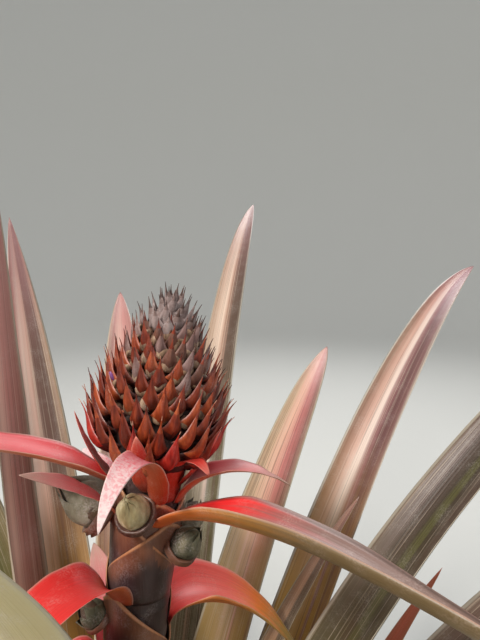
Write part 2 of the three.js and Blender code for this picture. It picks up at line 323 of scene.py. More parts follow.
def leaf_material(
    name, seed, stripes_and_highlight, base, tip, margin, tip_start=0.72, back=LEAF_BACK, patch=LEAF_PATCH
):
    """A channelled leaf: colour stripes across, the brightest cream one near the middle partly the leaf's
    own pale stripe and partly a painted highlight along the channel; tinted foot and tip, pale margins,
    scurfy back.
    """
    material, tree, shader = new_material(name)
    across, along, streaks, veins, waver = blade_places(tree, seed)
    # Colour stripes across the leaf; the bright cream stripe near the middle is partly the leaf's pale
    # stripe and partly a painted highlight.
    colour = ramp(tree, calc(tree, "ADD", across, waver), stripes_and_highlight)
    foot = calc(tree, "SUBTRACT", 1.0, rise_over(tree, along, 0.3, 0.6))
    foot = calc(tree, "MULTIPLY", foot, fade(tree, streaks, 0.26, 0.5, 0.9))
    colour = blend(tree, foot, colour, rgb(*base))
    colour = blend(tree, fade(tree, along, tip_start, 1.0, 0.75), colour, rgb(*tip))
    colour = blend(tree, fade(tree, veins, 0.53, 0.68, 0.6), colour, rgb(*patch))
    colour = blend(tree, fade(tree, veins, 0.44, 0.3, 0.45), colour, PALE_STREAK)
    colour = veined(tree, colour, veins, 0.55, 0.66)
    inner = inner_face(tree)
    outer = scaled(tree, inner, -0.5, 0.5)
    colour = blend(tree, outer, colour, rgb(*back))
    edge = calc(tree, "ADD", off_middle(tree, across), calc(tree, "MULTIPLY", waver, 0.05))
    colour = blend(tree, fade(tree, edge, 0.452, 0.476, 0.85), colour, rgb(*margin))
    speckled = scaled(tree, inner, -0.3, 0.5)
    colour = blend(tree, scurf_of(tree, speckled), colour, LEAF_SCURF)
    rough = scaled(tree, streaks, *BLADE_ROUGHNESS)
    finish_surface(tree, shader, colour, rough, veins, depth=0.0008, strength=0.45)
    return material


def bract_material(name, seed, inner, outer, pale_tip=0.0, margin=0.5):
    """A bract: one run of colours along its inner face, one along its back, and pale edges."""
    material, tree, shader = new_material(name)
    across, along, streaks, veins, waver = blade_places(tree, seed)
    run = calc(tree, "ADD", along, waver)
    colour = blend(tree, inner_face(tree), ramp(tree, run, outer), ramp(tree, run, inner))
    colour = veined(tree, colour, veins, 0.5, 0.72)
    edge = fade(tree, off_middle(tree, across), 0.46, 0.495, margin)
    colour = blend(tree, edge, colour, BRACT_EDGE)
    grain = rise_over(tree, noise_of(tree, plant_place(tree), 700.0, 3.0), 0.36, 0.6)
    frost = calc(tree, "MULTIPLY", fade(tree, run, 0.35, 0.95, pale_tip), grain)
    colour = blend(tree, frost, colour, BRACT_FROST)
    colour = blend(tree, scurf_of(tree, 0.22), colour, BRACT_SCURF)
    rough = scaled(tree, streaks, *BLADE_ROUGHNESS)
    finish_surface(tree, shader, colour, rough, veins, depth=0.0004, strength=0.3)
    return material


def tissue_material(name, colours, scale, bloom, rough, stretch=0.35):
    """Stalk, stem or scale tissue: three mixed colours, lengthwise veins and a pale bloom."""
    material, tree, shader = new_material(name)
    place = plant_place(tree)
    cloud = noise_of(tree, drawn_out(tree, place, stretch), scale, 5.0)
    vein = noise_of(tree, drawn_out(tree, place, VEIN_SHARE), 520.0, 2.0)
    colour = ramp(tree, cloud, [(0.3, *colours[0]), (0.5, *colours[1]), (0.7, *colours[2])])
    colour = veined(tree, colour, vein, 0.5, 0.74)
    colour = blend(tree, scurf_of(tree, bloom), colour, TISSUE_BLOOM)
    finish_surface(tree, shader, colour, rough, vein, depth=0.0004, strength=0.5)
    return material


def sheath_material(name):
    """A clasping sheath: dark purple at its foot, brown above, with a pale upper edge."""
    material, tree, shader = new_material(name)
    _, up = blade_axes(tree)
    place = plant_place(tree)
    cloud = noise_of(tree, drawn_out(tree, place, 0.3), 42.0, 5.0)
    vein = noise_of(tree, drawn_out(tree, place, VEIN_SHARE), 620.0, 3.0)
    foot = ramp(tree, cloud, [(0.3, 40, 27, 30), (0.5, 60, 44, 44), (0.72, 96, 80, 78)])
    brown = ramp(tree, cloud, [(0.3, 84, 48, 34), (0.5, 118, 74, 54), (0.72, 152, 108, 84)])
    waver = calc(tree, "MULTIPLY", calc(tree, "SUBTRACT", cloud, 0.5), 0.7)
    colour = blend(tree, rise_over(tree, calc(tree, "ADD", up, waver), 0.4, 0.85), foot, brown)
    colour = blend(tree, rise_over(tree, up, 0.93, 0.97), colour, SHEATH_EDGE)
    colour = veined(tree, colour, vein, 0.7, 0.64, share=0.85)
    colour = blend(tree, scurf_of(tree, 0.28), colour, SHEATH_BLOOM)
    finish_surface(tree, shader, colour, 0.36, vein, depth=0.0004, strength=0.5)
    return material


# Mesh helpers


def shares(count):
    """Shares from 0 to 1 in even steps."""
    return [step / count for step in range(count + 1)]


def turns(sides):
    """Even turns round a ring, in radians."""
    return [2 * math.pi * k / sides for k in range(sides)]


def places_across(columns):
    """Places from -1 to 1 across a sheet of points."""
    return [-1 + 2 * column / (columns - 1) for column in range(columns)]


def add_object(name, data):
    """A new object in the scene."""
    added = bpy.data.objects.new(name, data)
    bpy.context.scene.collection.objects.link(added)
    return added


def make_piece(name, points, faces, materials, nodes=(), uvs=None, inner=None, slots=None):
    """A mesh piece in metres from points in millimetres, riding on the plant."""
    mesh = bpy.data.meshes.new(name)
    mesh.from_pydata([Vector(point) * MM for point in points], [], faces)
    mesh.update()
    for material in materials:
        mesh.materials.append(material)
    if uvs:
        layer = mesh.uv_layers.new(name="UVMap")
        for loop in mesh.loops:
            layer.data[loop.index].uv = uvs[loop.vertex_index]
    if inner:
        flags = mesh.attributes.new("inner", "FLOAT", "FACE")
        flags.data.foreach_set("value", inner)
    if slots:
        mesh.polygons.foreach_set("material_index", slots)
    mesh.polygons.foreach_set("use_smooth", [True] * len(mesh.polygons))
    piece = add_object(name, mesh)
    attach(piece, "root")
    if nodes:
        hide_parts(*nodes)


def wall_faces(rings, sides):
    """Faces between rings of points that follow each other."""
    faces = []
    for ring in range(rings - 1):
        for k in range(sides):
            a = ring * sides + k
            b = ring * sides + (k + 1) % sides
            faces.append((a, b, b + sides, a + sides))
    return faces


def drum_faces(rings, sides):
    """Faces between rings of points, with a flat face at both ends."""
    foot = tuple(reversed(range(sides)))
    top = tuple(range((rings - 1) * sides, rings * sides))
    return [*wall_faces(rings, sides), foot, top]


def shell_faces(first, rows, columns):
    """Faces of two like grids of points, one over the other, and of the rim that joins them."""
    wide = columns * (rows + 1)
    sheets = []
    for row in range(rows):
        for column in range(columns - 1):
            k = first + row * columns + column
            quad = (k, k + 1, k + 1 + columns, k + columns)
            sheets.append(tuple(reversed(quad)))
            sheets.append(tuple(wide + corner for corner in quad))
    rim = list(range(columns))
    rim += [row * columns + columns - 1 for row in range(1, rows + 1)]
    rim += [rows * columns + column for column in reversed(range(columns - 1))]
    rim += [row * columns for row in reversed(range(1, rows))]
    edge = []
    for a, b in zip(rim, rim[1:] + rim[:1]):
        edge.append((first + a, first + b, first + wide + b, first + wide + a))
    return sheets, edge


def turned(profile, sides, wobble=0.0, seed=0.0):
    """Points and faces of a solid turned about Z from radius and height pairs."""
    points = []
    for radius, height in profile:
        for around in turns(sides):
            out = Vector((math.cos(around), math.sin(around), 0))
            bump = noise.noise(Vector((out.x * 2, out.y * 2, height * 0.09 + seed))) * wobble
            points.append(out * (radius + bump) + Vector((0, 0, height)))
    return points, drum_faces(len(profile), sides)


STEPS_IN_ROW = 4


def blade_heading(blade, share):
    """Climb and turn of a blade's middle line at a share of its length, in radians."""
    rise = mix(blade["rise"], blade["tip_rise"], share ** blade["bend"])
    turn = blade["turn"] + blade["sway"] * share ** blade["sway_bend"]
    return math.radians(rise), math.radians(turn)


def blade_frames(blade, rows):
    """The blade's middle line: share along it, place, sideways and hollow directions."""
    middle = Vector(blade["foot"])
    step = blade["length"] / rows / STEPS_IN_ROW
    frames = []
    for row in range(rows + 1):
        share = row / rows
        rise, turn = blade_heading(blade, share)
        twist = math.radians(blade["twist"] * share ** blade["twist_bend"])
        across = Vector((-math.sin(turn), math.cos(turn), 0))
        hollow = Vector(
            (-math.sin(rise) * math.cos(turn), -math.sin(rise) * math.sin(turn), math.cos(rise))
        )
        side = across * math.cos(twist) + hollow * math.sin(twist)
        up = hollow * math.cos(twist) - across * math.sin(twist)
        frames.append((share, middle.copy(), side, up))
        for part in range(STEPS_IN_ROW):
            climb, bearing = blade_heading(blade, (row + (part + 0.5) / STEPS_IN_ROW) / rows)
            middle.x += step * math.cos(climb) * math.cos(bearing)
            middle.y += step * math.cos(climb) * math.sin(bearing)
            middle.z += step * math.sin(climb)
    return frames


FOOT_TO_FULL_WIDTH = 0.2
TIP_ROUNDING = 0.85
TIP_THICKNESS = 0.35
RIPPLES = 9
WIDEST_BEND = 0.98


def blade_width(blade, share):
    foot = mix(blade["foot_share"], 1, min(1, share / FOOT_TO_FULL_WIDTH))
    return blade["width"] * foot * max(0, 1 - share ** blade["taper"]) ** TIP_ROUNDING


def blade_piece(name, blade, material, nodes, thickness, wave, seed, rows=56, columns=13):
    """One closed blade: hollow face, back face, sharp wavy margins and a pointed tip."""
    points, faces, uvs, inner = [], [], [], []
    front = [1 - 2 * k / (columns - 1) for k in range(columns)]
    back = [-1 + 2 * (k + 1) / (columns - 1) for k in range(columns - 2)]
    around = len(front) + len(back)
    frames = blade_frames(blade, rows)
    for share, middle, side, up in frames[:-1]:
        channel = blade["channel"] * (1 + blade["opening"] * share)
        spread = math.asin(min(WIDEST_BEND, blade_width(blade, share) / 2 / channel))
        thick = thickness * mix(1.0, TIP_THICKNESS, share)
        for k, place in enumerate(front + back):
            depth = 0 if k < columns else thick * (1 - place * place) ** 0.7
            ripple = noise.noise(Vector((share * RIPPLES, place * 0.6 + seed, seed))) * wave
            ripple *= abs(place) ** 3 * (1 - share) ** 0.3
            radius = channel + depth
            lift = channel - radius * math.cos(spread * place) + ripple
            points.append(middle + side * (radius * math.sin(spread * place)) + up * lift)
            uvs.append(((1 - place) / 2, share))
    tip = len(points)
    points.append(frames[-1][1])
    uvs.append((0.5, 1.0))
    for row in range(rows):
        for k in range(around):
            a = row * around + k
            b = row * around + (k + 1) % around
            faces.append((a, b, b + around, a + around) if row < rows - 1 else (a, b, tip))
            inner.append(1.0 if k < columns - 1 else 0.0)
    faces.append(tuple(reversed(range(around))))
    inner.append(0.0)
    make_piece(name, points, faces, [material], nodes, uvs, inner)


# Camera: the place, tilt and lens of the photograph, in metres, degrees and millimetres

camera = add_object("camera", bpy.data.cameras.new("camera"))
camera.location = (0.083, -0.300, 0.720)
camera.rotation_euler = (math.radians(82.9), 0, 0)
camera.data.sensor_width = 36
camera.data.lens = 27.06
camera.data.clip_start = 0.01
bpy.context.scene.camera = camera
bpy.context.scene.view_settings.view_transform = "Standard"

# Leaves


YOUNG_LENGTH, OLD_LENGTH = 700, 520
YOUNG_RISE, OLD_RISE, OPEN_SIDE_FALL = 80, 40, 22
YOUNG_TIP_RISE, OLD_TIP_RISE, OPEN_SIDE_TIP_FALL = 35, -8, 15


def leaf_blade(place):
    """A leaf's numbers: by its place in the spiral, or its own where the photograph shows it."""
    age = 1 - place / (LEAF_COUNT - 1)
    turn = (SPIRAL_TURN * place) % 360
    openness = max(0, math.cos(math.radians(turn - OPEN_SIDE_TURN)))
    blade = dict(
        turn=turn,
        length=mix(YOUNG_LENGTH, OLD_LENGTH, age),
        rise=mix(YOUNG_RISE, OLD_RISE, age) - OPEN_SIDE_FALL * openness,
        tip_rise=mix(YOUNG_TIP_RISE, OLD_TIP_RISE, age) - OPEN_SIDE_TIP_FALL * openness,
        bend=1.8, sway=0, sway_bend=2, twist=0, twist_bend=1, width=LEAF_WIDTH, foot_share=0.9,
        taper=4.2, channel=LEAF_CHANNEL, opening=0,
    )
    blade.update(SEEN_LEAVES.get(place, {}))
    z = FIRST_LEAF_Z + LEAF_STEP * place
    radius = stem_radius(z) + LEAF_SEAT
    angle = math.radians(blade["turn"])
    blade["foot"] = (radius * math.cos(angle), radius * math.sin(angle), z)
    return blade


# Colour stripes across each leaf, margin to margin; in the pale striped looks the brightest cream stop near
# the middle is partly the leaf's own pale stripe and partly a painted highlight along the channel.
LEAF_LOOKS = {
    "stripe_left": dict(
        stripes_and_highlight=[(0, 150, 112, 92), (0.14, 206, 144, 132), (0.3, 242, 208, 192), (0.44, 222, 178, 160),
               (0.53, 112, 80, 68), (0.8, 94, 68, 56), (0.92, 156, 124, 98), (1, 180, 152, 122)],
        base=(210, 156, 74), tip=(178, 128, 130), margin=(214, 206, 188),
    ),
    "arched": dict(
        stripes_and_highlight=[(0, 184, 158, 136), (0.1, 150, 112, 92), (0.26, 216, 172, 154), (0.42, 244, 222, 208),
               (0.52, 150, 100, 100), (0.62, 112, 74, 74), (0.84, 132, 92, 90), (1, 196, 182, 168)],
        base=(198, 152, 66), tip=(176, 106, 116), margin=(216, 208, 194),
    ),
    "tall": dict(
        stripes_and_highlight=[(0, 164, 132, 104), (0.15, 214, 180, 156), (0.38, 240, 212, 190), (0.5, 196, 156, 134),
               (0.6, 102, 78, 64), (0.88, 88, 70, 56), (1, 164, 156, 142)],
        base=(98, 92, 56), tip=(166, 108, 108), margin=(192, 186, 172), tip_start=0.6,
    ),
    "salmon": dict(
        stripes_and_highlight=[(0, 178, 150, 118), (0.2, 218, 184, 152), (0.38, 236, 184, 160), (0.6, 196, 118, 112),
               (0.84, 142, 92, 86), (1, 178, 160, 136)],
        base=(182, 148, 78), tip=(204, 128, 116), margin=(200, 188, 162),
    ),
    "pink": dict(
        stripes_and_highlight=[(0, 186, 158, 138), (0.2, 168, 122, 112), (0.4, 232, 190, 174), (0.6, 204, 146, 136),
               (0.85, 176, 126, 116), (1, 172, 146, 126)],
        base=(196, 150, 74), tip=(200, 136, 132), margin=(206, 194, 172),
    ),
    "dark": dict(
        stripes_and_highlight=[(0, 118, 98, 84), (0.2, 96, 74, 66), (0.42, 70, 58, 44), (0.5, 92, 88, 48),
               (0.58, 68, 56, 42), (0.85, 92, 72, 62), (1, 130, 112, 96)],
        base=(84, 78, 44), tip=(126, 92, 86), margin=(206, 194, 174),
        back=(118, 106, 84), patch=(54, 42, 28),
    ),
    "sage": dict(
        stripes_and_highlight=[(0, 212, 198, 154), (0.3, 196, 182, 132), (0.52, 164, 148, 98), (0.7, 210, 200, 152),
               (1, 222, 210, 168)],
        base=(190, 178, 124), tip=(200, 184, 148), margin=(228, 214, 186),
        back=(212, 202, 158), patch=(164, 150, 102),
    ),
    "red": dict(
        stripes_and_highlight=[(0, 190, 110, 84), (0.4, 214, 104, 80), (0.7, 198, 92, 66), (1, 180, 120, 90)],
        base=(160, 116, 66), tip=(222, 120, 84), margin=(210, 180, 150), patch=(150, 70, 48),
    ),
    "green": dict(
        stripes_and_highlight=[(0, 128, 112, 74), (0.2, 112, 106, 58), (0.42, 140, 132, 78), (0.55, 92, 98, 46),
               (0.8, 116, 100, 62), (1, 140, 122, 86)],
        base=(120, 112, 62), tip=(160, 112, 96), margin=(190, 178, 148),
        back=(136, 128, 98), patch=(74, 70, 38),
    ),
    "bronze": dict(
        stripes_and_highlight=[(0, 150, 122, 90), (0.22, 170, 130, 98), (0.46, 190, 148, 116), (0.6, 108, 86, 62),
               (0.85, 100, 80, 58), (1, 154, 134, 106)],
        base=(136, 118, 66), tip=(172, 118, 106), margin=(194, 182, 156),
    ),
}
leaf_looks = {}
for i, (look, own) in enumerate(LEAF_LOOKS.items()):
    leaf_looks[look] = leaf_material(f"leaf_{look}", seed=1.0 + 4.0 * i, **own)

LOOK_OF_LEAF = {
    8: "red", 14: "stripe_left", 16: "arched", 19: "tall", 21: "dark", 24: "salmon", 25: "pink",
    26: "dark", 27: "pink", 28: "sage", 29: "bronze",
}
HIDDEN_LOOKS = ("green", "bronze", "green", "stripe_left")

for place in range(LEAF_COUNT):
    look = LOOK_OF_LEAF.get(place, HIDDEN_LOOKS[place % len(HIDDEN_LOOKS)])
    blade_piece(
        f"blade_{place:02d}", leaf_blade(place), leaf_looks[look], [f"leaf_{place:02d}"],
        thickness=3.4, wave=1.6, seed=place * 1.7,
    )

# Bracts


def bract_blade(own):
    """A bract's numbers, with its foot on the stalk."""
    blade = dict(
        sway=0, sway_bend=2, twist=0, twist_bend=1, bend=0.8, opening=0.8, foot_share=0.6, taper=3,
        channel=STALK_RADIUS + 3,
    )
    blade.update(own)
    z = blade["z"]
    angle = math.radians(blade["turn"])
    radius = stalk_radius(z) + BRACT_SEAT
    blade["foot"] = (axis_x(z) + radius * math.cos(angle), radius * math.sin(angle), z)
    return blade


BRACT_LOOKS = {
    "scarlet": dict(
        inner=[(0, 168, 40, 30), (0.12, 226, 38, 40), (0.6, 235, 60, 56), (1, 214, 120, 100)],
        outer=[(0, 150, 62, 36), (0.3, 214, 110, 60), (0.7, 206, 150, 84), (1, 190, 150, 96)],
    ),
    "salmon": dict(
        inner=[(0, 220, 50, 40), (0.12, 255, 84, 78), (0.4, 255, 108, 92), (0.62, 240, 128, 52),
               (0.85, 160, 124, 50), (1, 130, 110, 50)],
        outer=[(0, 206, 110, 60), (0.35, 226, 130, 60), (0.6, 200, 150, 70), (1, 130, 112, 48)],
    ),
    "long": dict(
        inner=[(0, 190, 52, 36), (0.06, 235, 34, 40), (0.16, 236, 52, 52), (0.26, 168, 92, 86),
               (0.38, 134, 102, 92), (1, 112, 92, 76)],
        outer=[(0, 206, 96, 50), (0.14, 216, 116, 46), (0.26, 168, 116, 56), (0.4, 120, 98, 66),
               (1, 112, 96, 64)],
    ),
    "pink": dict(
        inner=[(0, 206, 60, 48), (0.3, 232, 66, 72), (0.62, 240, 112, 122), (1, 240, 206, 206)],
        outer=[(0, 178, 66, 34), (0.3, 196, 82, 44), (0.7, 206, 140, 104), (1, 214, 180, 160)],
        pale_tip=0.8, margin=0.8,
    ),
    "faded": dict(
        inner=[(0, 206, 52, 48), (0.35, 226, 76, 82), (0.65, 218, 122, 122), (1, 196, 158, 142)],
        outer=[(0, 176, 82, 54), (0.35, 196, 108, 74), (0.7, 180, 124, 98), (1, 168, 140, 118)],
        margin=0.7,
    ),
    "blood": dict(
        inner=[(0, 150, 40, 28), (0.3, 206, 48, 38), (0.8, 222, 66, 56), (1, 230, 130, 112)],
        outer=[(0, 140, 50, 30), (0.3, 196, 60, 36), (0.8, 214, 70, 54), (1, 230, 140, 120)],
    ),
}
bract_looks = {}
for i, (look, own) in enumerate(BRACT_LOOKS.items()):
    bract_looks[look] = bract_material(f"bract_{look}", seed=2.0 + 2.0 * i, **own)

LOOK_OF_BRACT = {
    "bract_low_left": "scarlet", "bract_low_right": "salmon", "bract_left": "scarlet",
    "bract_high_back": "pink", "bract_long_right": "long", "bract_front": "pink",
}
for name, own in BRACTS.items():
    look = LOOK_OF_BRACT.get(name, "faded")
    blade_piece(
        name.replace("bract", "red"), bract_blade(own), bract_looks[look], [name],
        rows=48, thickness=1.8, wave=1.2, seed=own["turn"] * 0.1,
    )

# Very small bracts round the foot of the head, which have no solids.
SMALL_BRACTS = {
    "red_small_folded": dict(turn=318, z=570, length=58, rise=78, tip_rise=-62, bend=2.2, width=21,
                             twist=-8),
    "red_small_spike": dict(turn=272, z=580, length=54, rise=48, tip_rise=68, bend=1, width=14, opening=0),
    "red_small_left": dict(turn=192, z=578, length=56, rise=42, tip_rise=78, bend=0.7, width=14, opening=0),
    "red_small_right": dict(turn=338, z=578, length=52, rise=40, tip_rise=66, bend=0.8, width=16, opening=0),
    "red_small_back_left": dict(turn=122, z=576, length=62, rise=52, tip_rise=4, bend=1.2, width=18),
    "red_small_back_right": dict(turn=60, z=578, length=60, rise=48, tip_rise=0, bend=1.1, width=17),
}
for name, own in SMALL_BRACTS.items():
    look = "faded" if "back" in name else "blood"
    blade_piece(
        name, bract_blade(own), bract_looks[look], [],
        rows=24, columns=9, thickness=1.2, wave=0.8, seed=own["turn"] * 0.1,
    )

# Stem, stalk and sheaths

# Three mixed colours, scale of the mixing, bloom, roughness and, for some, stretch of each tissue.
TISSUES = {
    "stem_tissue": ([(70, 48, 36), (96, 70, 48), (128, 104, 74)], 60.0, 0.3, 0.7, 0.6),
    "stalk_skin": ([(42, 28, 30), (64, 46, 44), (92, 74, 70)], 40.0, 0.35, 0.42),
    "sheath_skin": ([(70, 44, 38), (100, 66, 54), (136, 92, 70)], 30.0, 0.3, 0.38),
    "bud_felt": ([(98, 90, 72), (128, 122, 102), (160, 156, 138)], 90.0, 0.75, 0.85, 0.6),
    "bud_dark": ([(48, 46, 34), (78, 76, 56), (110, 104, 80)], 90.0, 0.45, 0.75, 0.6),
    "bud_cream": ([(112, 98, 66), (166, 152, 112), (220, 210, 176)], 150.0, 0.3, 0.5),
    "bud_core": ([(60, 44, 34), (84, 62, 46), (104, 84, 60)], 90.0, 0.3, 0.7),
}
tissues = {name: tissue_material(name, *own) for name, own in TISSUES.items()}
clasping = sheath_material("sheath_clasping")

STEM_ROWS = 60
LEAF_SCAR_DEPTH = 0.6
AXIS_RADIUS = 0.5


def stem_piece():
    """The stem with a low furrow for each leaf's foot, flat at the ground."""
    top = STEM_HEIGHT - GAP
    wall = []
    for row in range(STEM_ROWS + 1):
        z = row * top / STEM_ROWS
        scar = LEAF_SCAR_DEPTH * abs(math.sin(z * math.pi / LEAF_STEP))
        wall.append((stem_radius(z) - scar, z))
    points, faces = turned([(AXIS_RADIUS, 0), *wall, (AXIS_RADIUS, top)], 64, wobble=0.5)
    make_piece("stem_body", points, faces, [tissues["stem_tissue"]], ["stem"])


def on_stalk(z, around, out):
    """A point at a height and turn round the leaning stalk, out from its middle line."""
    tilt = axis_tilt(z)
    x, y = out * math.cos(around), out * math.sin(around)
    return Vector((axis_x(z) + x * math.cos(tilt), y, z - x * math.sin(tilt)))


RING_DROP = 34
RING_HALF_HEIGHT = 1.6
RING_DEPTH = 0.7
STALK_GRAIN = 0.5


def stalk_piece(rows=150, sides=56):
    """The stalk with a low ring below each bract and a slightly uneven skin."""
    rings = [own["z"] - RING_DROP for own in BRACTS.values()]
    points = []
    for share in shares(rows):
        z = mix(STEM_HEIGHT, HEAD_BASE_Z - GAP, share)
        swell = sum(math.exp(-(((z - ring) / RING_HALF_HEIGHT) ** 2)) for ring in rings)
        radius = stalk_radius(z) + RING_DEPTH * min(1, swell)
        for around in turns(sides):
            grain = noise.noise(Vector((math.cos(around) * 3, math.sin(around) * 3, z * 0.04)))
            points.append(on_stalk(z, around, radius + STALK_GRAIN * (grain - 1)))
    faces = drum_faces(rows + 1, sides)
    make_piece("stalk_body", points, faces, [tissues["stalk_skin"]], ["stalk"])


SHEATH_BELOW = 52
SHEATH_ABOVE = 4
SHEATH_HALF_TURN = 125
SHEATH_EDGE_FALL = 46
SHEATH_FOOT_STAND = 0.1
SHEATH_EDGE_STAND = 2.4
SHEATH_THICKNESS = 0.9
SHEATH_INSET = 0.3


def sheath_piece(name, own, rows=22, columns=41):
    """The clasping foot of a bract: a thin shell whose slanting pale edge stands off the stalk."""
    points, uvs = [], []
    for layer in range(2):
        for up in shares(rows):
            for side in places_across(columns):
                top = own["z"] + SHEATH_ABOVE - SHEATH_EDGE_FALL * abs(side) ** 1.25
                z = mix(own["z"] - SHEATH_BELOW, top, up)
                around = math.radians(own["turn"] + SHEATH_HALF_TURN * side)
                stand = mix(SHEATH_FOOT_STAND, SHEATH_EDGE_STAND, up**0.8) * (1 - 0.5 * side * side)
                skin = SHEATH_THICKNESS * up * (1 - side * side) if layer else -SHEATH_INSET
                points.append(on_stalk(z, around, stalk_radius(z) + stand + skin))
                uvs.append((0.5 + side / 2, up))
    sheets, edge = shell_faces(0, rows, columns)
    make_piece(name, points, sheets + edge, [clasping], uvs=uvs)


stem_piece()
stalk_piece()
for name, own in BRACTS.items():
    sheath_piece(name.replace("bract", "sheath"), own)

# Buds

# Out and up along the bud's ringed cup, in shares of the bud's size.
CUP = [
    (0.2, -0.1), (0.42, -0.05), (0.5, 0.02), (0.46, 0.06), (0.51, 0.11), (0.47, 0.15), (0.49, 0.2),
    (0.43, 0.19), (0.3, 0.08),
]
EGG_SHARE = 0.43
EGG_HEIGHT = 0.92
EGG_ROWS = 14
BUD_SIDES = 28
BUD_SCALE_GRID = 9
CORE_SLOT, SCALE_SLOT, CUP_SLOT = range(3)


def bud_matrix(own):
    foot = BUD_FOOT_SHARE * own["size"]
    tilt, turn = math.radians(own["tilt"]), math.radians(own["turn"])
    touch = own["z"] + foot * math.sin(tilt)
    reach = stalk_radius(touch) + GAP + foot * math.cos(tilt)
    place = Vector((axis_x(touch) + reach * math.cos(turn), reach * math.sin(turn), own["z"]))
    return Matrix.Translation(place) @ Matrix.Rotation(turn, 4, "Z") @ Matrix.Rotation(tilt, 4, "Y")


def egg_radius(height):
    """The radius of a bud's egg at a share of its height, in shares of the bud's size."""
    swell = math.sin(math.pi * min(1, 0.2 + 0.8 * height)) ** 0.8
    return EGG_SHARE * swell * (1 - 0.25 * height)


def bud_scale_points(size, level, turn, loose, shut):
    """Two grids of points of one scale on the egg; loose lifts its tip, shut draws it in."""
    low = 0.02 + 0.42 * level
    high = mix(0.62, 1.0, shut) + mix(0.42, 0.14, shut) * level
    if shut == 1 and level > 0.5:
        high += 0.16
    half = math.radians(mix(62, 34, level))
    lift = loose * (1 - 0.6 * level) * size
    keel = 0.035 * size * (1 - level)
    points = []
    for layer in range(2):
        for along in shares(BUD_SCALE_GRID):
            height = mix(low, high, along)
            reach = half * (1 - along**2.2) * (0.75 + 0.25 * math.sin(math.pi * along))
            body = egg_radius(min(1, height)) * size * mix(0.98, 0.86, shut) + 0.5 + lift * along**2.5
            for side in places_across(BUD_SCALE_GRID):
                around = turn + reach * side
                out = body + (keel + (0.6 if layer else 0)) * (1 - abs(side))
                out = mix(out, 0.55 if layer else 0.25, shut * along**5)
                points.append(Vector((math.cos(around) * out, math.sin(around) * out, height * size)))
    return points


def bud_piece(name, scales, skin, core, loose, shut=0.0):
    """An egg of overlapping pointed scales in a brown cup, on the place of the bud's solid."""
    own = BUDS[name]
    size = own["size"]
    egg = [(max(0.01, egg_radius(share) * size), share * size * EGG_HEIGHT) for share in shares(EGG_ROWS)]
    points, faces = turned(egg, BUD_SIDES)
    slots = [CORE_SLOT] * len(faces)
    cup = [(out * size, up * size) for out, up in CUP]
    cup_points, cup_faces = turned(cup, BUD_SIDES, wobble=0.5, seed=own["turn"])
    faces += [tuple(len(points) + corner for corner in face) for face in cup_faces]
    points += cup_points
    slots += [CUP_SLOT] * len(cup_faces)
    for scale in range(scales):
        sheets, edge = shell_faces(len(points), BUD_SCALE_GRID, BUD_SCALE_GRID)
        faces += sheets + edge
        slots += [SCALE_SLOT] * len(sheets + edge)
        turn = math.radians(scale * SPIRAL_TURN)
        points += bud_scale_points(size, scale / scales, turn, loose, shut)
    matrix = bud_matrix(own)
    placed = [matrix @ point for point in points]
    skins = [tissues[core], tissues[skin], tissues["sheath_skin"]]
    make_piece(name.replace("bud", "scales"), placed, faces, skins, [name], slots=slots)


bud_piece("bud_left", 9, "bud_felt", "bud_core", loose=0.16, shut=0.45)
bud_piece("bud_front", 7, "bud_cream", "bud_cream", loose=0.02, shut=1.0)
bud_piece("bud_right", 7, "bud_dark", "bud_dark", loose=0.08, shut=0.6)
bud_piece("bud_back", 9, "bud_felt", "bud_core", loose=0.14)
bud_piece("bud_low", 8, "bud_dark", "bud_core", loose=0.12)

# Flower head and crown

HEAD_FOOT_RADIUS = 20
HEAD_TOP_RADIUS = 14
HEAD_SWELL = 14.5
HEAD_SWELL_POWER = 0.52
HEAD_SCALES = 150
HEAD_ROWS = 24
GOLDEN_TURN = 137.508
SCALE_ROWS = 12
SCALE_COLUMNS = 7
SCALE_ROOT = 3
SCALE_POINT = 0.12
CORE_INSET = 1.5
RED_UP_TO, RED_CHANCE = 0.16, 0.45
MAUVE_FROM, MAUVE_OVER = 0.5, 0.45
FRUITLETS_FROM = 0.3
PETALS_FROM, PETALS_UP_TO, PETAL_CHANCE = 0.34, 0.6, 0.16
head_lean = Matrix.Rotation(axis_tilt(HEAD_BASE_Z), 4, "Y")
head_matrix = Matrix.Translation((HEAD_BASE_X, 0, HEAD_BASE_Z)) @ head_lean
crown_matrix = head_matrix @ Matrix.Translation((0, 0, HEAD_HEIGHT + GAP))


def head_radius(share):
    swell = HEAD_SWELL * math.sin(math.pi * share**HEAD_SWELL_POWER)
    return mix(HEAD_FOOT_RADIUS, HEAD_TOP_RADIUS, share) + swell


def head_share(place):
    """How far up the head a scale stands, from its place in the spiral."""
    return 0.035 + 0.95 * (place / (HEAD_SCALES - 1)) ** 0.93


def scale_line(length, pitches):
    """Out and up along a scale's middle line, and its pitch from upright, row by row."""
    foot, middle, tip = pitches
    out, up, line = 0.0, 0.0, []
    for along in shares(SCALE_ROWS):
        if along < 0.5:
            pitch = math.radians(mix(foot, middle, smooth(along * 2)))
        else:
            pitch = math.radians(mix(middle, tip, smooth(along * 2 - 1)))
        line.append((along, out, up, pitch))
        out += length / SCALE_ROWS * math.sin(pitch)
        up += length / SCALE_ROWS * math.cos(pitch)
    return line


def scale_half_width(along, width):
    """Half the width of a scale: a rounded foot that runs out into a long narrow point."""
    foot = mix(0.75, 1, min(1, along / 0.15))
    point = 0.8 * max(0, 1 - along / 0.8) ** 1.15 + 0.2 * (1 - along)
    return width / 2 * foot * point + SCALE_POINT


